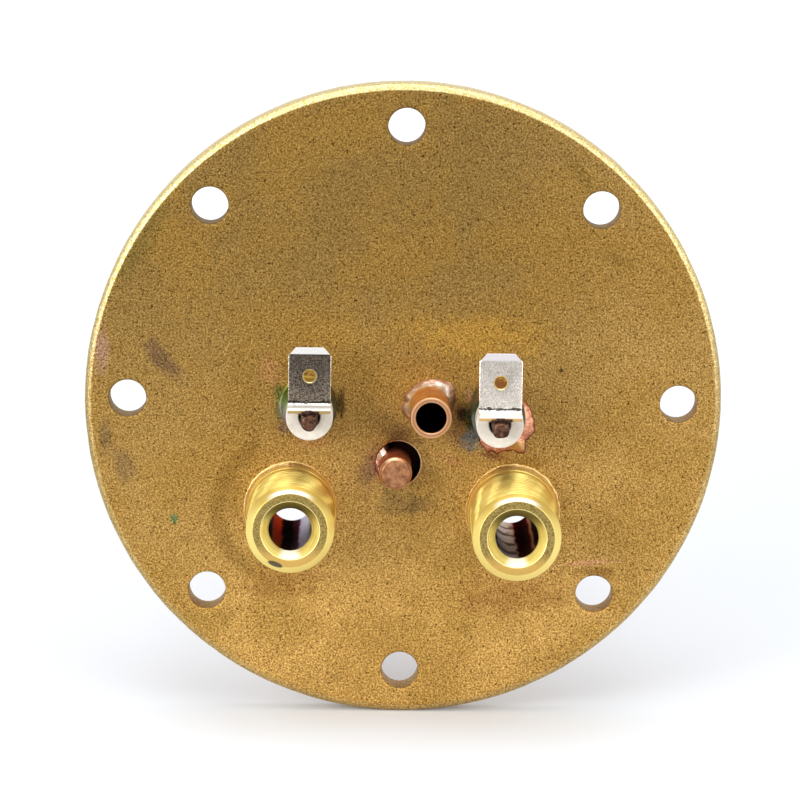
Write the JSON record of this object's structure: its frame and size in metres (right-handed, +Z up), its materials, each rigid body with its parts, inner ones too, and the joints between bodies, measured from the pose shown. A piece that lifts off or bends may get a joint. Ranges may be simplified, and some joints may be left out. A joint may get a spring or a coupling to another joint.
{
  "type": "espresso machine heating element",
  "caption": "Round brass flange with bolt holes that carries a copper-sheathed hairpin heater, two threaded nozzles, a sensor pocket, a copper rod and two push-on tabs.",
  "frame": {"origin": "centre of the bolt circle on the flange's outer face", "axes": "+X right and +Z up as seen from outside with the tabs pointing up, +Y into the boiler along the flange's axis"},
  "size_m": [0.096, 0.1628, 0.096],
  "materials": {
    "flange_brass": "sand-blasted, stained by heat",
    "nozzle_brass": "turned, bright",
    "brass_braze": "cast fillet",
    "copper": "copper, drawn and heat-tinted",
    "copper_braze": "lumpy copper braze",
    "tinned_brass": "tinned, dull",
    "pin_steel": "oxidised brown",
    "ceramic_white": "fired, unglazed",
    "seal_resin": "cast resin",
    "magnesia": "packed powder",
    "winding_wire": "drawn nickel-chromium wire"
  },
  "bodies": {
    "root": {"ceramic_bead_left": "ceramic_white", "ceramic_bead_right": "ceramic_white", "cutout_rod": "copper", "end_seal_left": "seal_resin", "end_seal_right": "seal_resin", "flange_plate": "flange_brass", "heater_sheath": "copper", "magnesia_fill": "magnesia", "nozzle_braze_left": "brass_braze", "nozzle_braze_right": "brass_braze", "nozzle_left": "nozzle_brass", "nozzle_right": "nozzle_brass", "pocket_braze": "copper_braze", "resistance_winding": "winding_wire", "rod_braze": "copper_braze", "sensor_pocket": "copper", "sheath_braze_left": "copper_braze", "sheath_braze_right": "copper_braze", "tab_left": "tinned_brass", "tab_right": "tinned_brass", "terminal_pin_left": "pin_steel", "terminal_pin_right": "pin_steel"}
  },
  "joints": []
}
